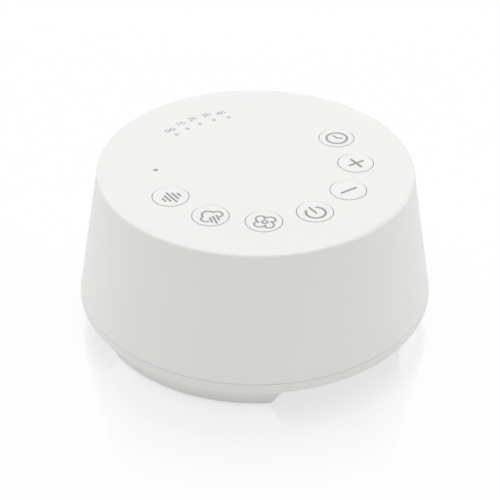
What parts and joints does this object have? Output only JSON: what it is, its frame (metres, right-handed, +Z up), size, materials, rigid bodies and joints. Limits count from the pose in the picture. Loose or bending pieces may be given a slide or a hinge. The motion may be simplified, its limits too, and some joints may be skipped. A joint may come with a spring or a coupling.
{
  "type": "white noise sound machine",
  "caption": "Round table-top white noise sound machine: white cone-shaped case on arc feet, flat top with an arc of round keys, timer lights and a down-firing speaker.",
  "frame": {"origin": "on the case's axis, at the middle of the face it rests on", "axes": "+Z up along the case's axis, -Y towards the front (the power key), +Y towards the charging port"},
  "size_m": [0.11, 0.11, 0.0524],
  "materials": {
    "white_shell": "fine matt moulded white plastic",
    "white_base": "matt moulded white plastic",
    "white_key": "satin white plastic with a printed grey symbol",
    "pad_rubber": "soft grey rubber",
    "dark_plastic": "black moulded plastic",
    "clear_guide": "milky clear plastic",
    "zinc_screw": "zinc plated steel",
    "board_green": "green lacquered laminate",
    "can_metal": "drawn aluminium can",
    "connector_cream": "cream plastic housing",
    "led_lens": "clear epoxy",
    "foam_black": "closed cell foam",
    "pressed_steel": "black painted steel",
    "plated_steel": "plated steel",
    "ferrite": "ceramic magnet",
    "paper_cone": "pulp paper",
    "surround_rubber": "soft black rubber",
    "spider_cloth": "resin dipped cloth",
    "coil_copper": "enamelled copper wire on a paper former",
    "cell_foil": "aluminium laminate pouch",
    "wire_red": "soft wire insulation"
  },
  "bodies": {
    "case": {"top_shell": "white_shell", "base_shell": "white_base", "foot_pad_1": "pad_rubber", "foot_pad_2": "pad_rubber", "foot_pad_3": "pad_rubber", "case_screws": "zinc_screw", "speaker_screws": "zinc_screw", "board_screws": "zinc_screw", "power_board_screws": "zinc_screw", "key_switches": "dark_plastic", "main_board": "board_green", "controller": "dark_plastic", "board_capacitors": "can_metal", "board_plugs": "connector_cream", "timer_leds": "led_lens", "status_led": "led_lens", "timer_light_guide": "clear_guide", "status_light_guide": "clear_guide", "speaker_gasket": "foam_black", "speaker_basket": "pressed_steel", "speaker_surround": "surround_rubber", "speaker_spider": "spider_cloth", "front_plate": "plated_steel", "speaker_magnet": "ferrite", "back_plate": "plated_steel", "cell_tape": "foam_black", "battery_cell": "cell_foil", "power_board": "board_green", "port_shell": "plated_steel", "port_tongue": "dark_plastic", "power_plug": "connector_cream", "power_lead": "wire_red", "battery_lead": "wire_red", "speaker_lead": "wire_red"},
    "speaker_diaphragm": {"speaker_cone": "paper_cone", "dust_cap": "paper_cone", "voice_coil": "coil_copper"},
    "wave_key": {"key_wave": "white_key", "plunger_wave": "dark_plastic"},
    "rain_key": {"key_rain": "white_key", "plunger_rain": "dark_plastic"},
    "fan_key": {"key_fan": "white_key", "plunger_fan": "dark_plastic"},
    "power_key": {"key_power": "white_key", "plunger_power": "dark_plastic"},
    "minus_key": {"key_minus": "white_key", "plunger_minus": "dark_plastic"},
    "plus_key": {"key_plus": "white_key", "plunger_plus": "dark_plastic"},
    "timer_key": {"key_timer": "white_key", "plunger_timer": "dark_plastic"}
  },
  "joints": [
    {"name": "wave_press", "type": "slide", "parent": "case", "child": "wave_key", "axis": [0, 0, -1], "range_m": [0, 0.0005], "stiffness_N_per_m": 1500},
    {"name": "rain_press", "type": "slide", "parent": "case", "child": "rain_key", "axis": [0, 0, -1], "range_m": [0, 0.0005], "stiffness_N_per_m": 1500},
    {"name": "fan_press", "type": "slide", "parent": "case", "child": "fan_key", "axis": [0, 0, -1], "range_m": [0, 0.0005], "stiffness_N_per_m": 1500},
    {"name": "power_press", "type": "slide", "parent": "case", "child": "power_key", "axis": [0, 0, -1], "range_m": [0, 0.0005], "stiffness_N_per_m": 1500},
    {"name": "minus_press", "type": "slide", "parent": "case", "child": "minus_key", "axis": [0, 0, -1], "range_m": [0, 0.0005], "stiffness_N_per_m": 1500},
    {"name": "plus_press", "type": "slide", "parent": "case", "child": "plus_key", "axis": [0, 0, -1], "range_m": [0, 0.0005], "stiffness_N_per_m": 1500},
    {"name": "timer_press", "type": "slide", "parent": "case", "child": "timer_key", "axis": [0, 0, -1], "range_m": [0, 0.0005], "stiffness_N_per_m": 1500},
    {"name": "diaphragm_travel", "type": "slide", "parent": "case", "child": "speaker_diaphragm", "axis": [0, 0, 1], "range_m": [-0.0008, 0.0008], "stiffness_N_per_m": 1200, "deforming": ["speaker_surround", "speaker_spider"]}
  ]
}
